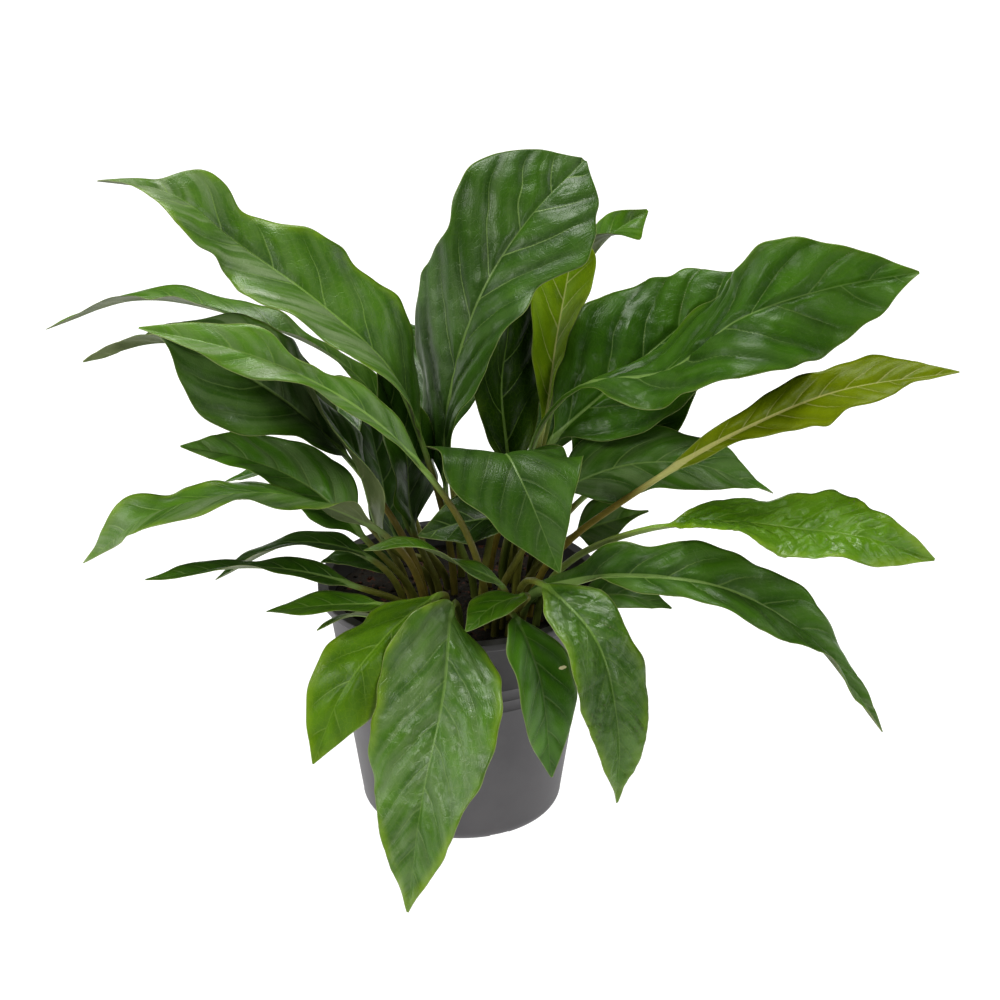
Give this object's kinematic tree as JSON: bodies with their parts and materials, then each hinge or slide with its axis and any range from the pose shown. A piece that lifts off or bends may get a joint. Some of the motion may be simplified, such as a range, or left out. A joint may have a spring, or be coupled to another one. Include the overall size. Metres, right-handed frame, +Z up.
{
  "type": "potted anthurium",
  "caption": "Potted foliage anthurium: long glossy waved leaves on thin stalks rise from soil in a round tapered nursery pot and arch over its rim.",
  "frame": {"origin": "on the floor under the middle of the pot's flat base", "axes": "+Z up, +X to the plant's right as seen from the front, the front faces -Y"},
  "size_m": [0.6357, 0.5189, 0.4792],
  "materials": {
    "pot_plastic": "matt charcoal grey moulded plastic",
    "potting_soil": "dark crumbly potting soil",
    "leaf_dark": "glossy dark green leaf",
    "leaf_green": "glossy mid green leaf with paler margins",
    "leaf_bright": "young yellow-green leaf"
  },
  "bodies": {
    "root": {"pot": "pot_plastic", "soil": "potting_soil", "leaf_front_big": "leaf_green", "leaf_front_left": "leaf_bright", "leaf_front_right": "leaf_dark", "leaf_front_middle": "leaf_dark", "leaf_front_small": "leaf_green", "leaf_left_tiny": "leaf_bright", "leaf_left_low": "leaf_green", "leaf_left_thin_lower": "leaf_dark", "leaf_left_thin_upper": "leaf_dark", "leaf_left_stubby": "leaf_dark", "leaf_centre_narrow": "leaf_green", "leaf_centre_under": "leaf_dark", "leaf_centre_arching": "leaf_dark", "leaf_left_long_stalk": "leaf_green", "leaf_left_pale": "leaf_green", "leaf_left_dark": "leaf_dark", "leaf_left_broad": "leaf_dark", "leaf_left_twisted": "leaf_dark", "leaf_left_high": "leaf_green", "leaf_left_inner": "leaf_dark", "leaf_inner_upright": "leaf_dark", "leaf_inner_dark": "leaf_dark", "leaf_centre_tall": "leaf_dark", "leaf_back_dark": "leaf_dark", "leaf_back_bright": "leaf_bright", "leaf_back_peeping": "leaf_dark", "leaf_right_upper": "leaf_dark", "leaf_right_broad": "leaf_dark", "leaf_right_behind": "leaf_dark", "leaf_right_dark": "leaf_dark", "leaf_right_narrow": "leaf_bright", "leaf_right_small": "leaf_dark", "leaf_right_puckered": "leaf_green", "leaf_right_drooping": "leaf_dark", "leaf_right_short": "leaf_dark", "leaf_rear_middle": "leaf_dark", "leaf_rear_left": "leaf_dark", "leaf_rear_right": "leaf_dark", "leaf_rear_far_left": "leaf_dark", "leaf_rear_far_right": "leaf_dark"}
  },
  "joints": []
}
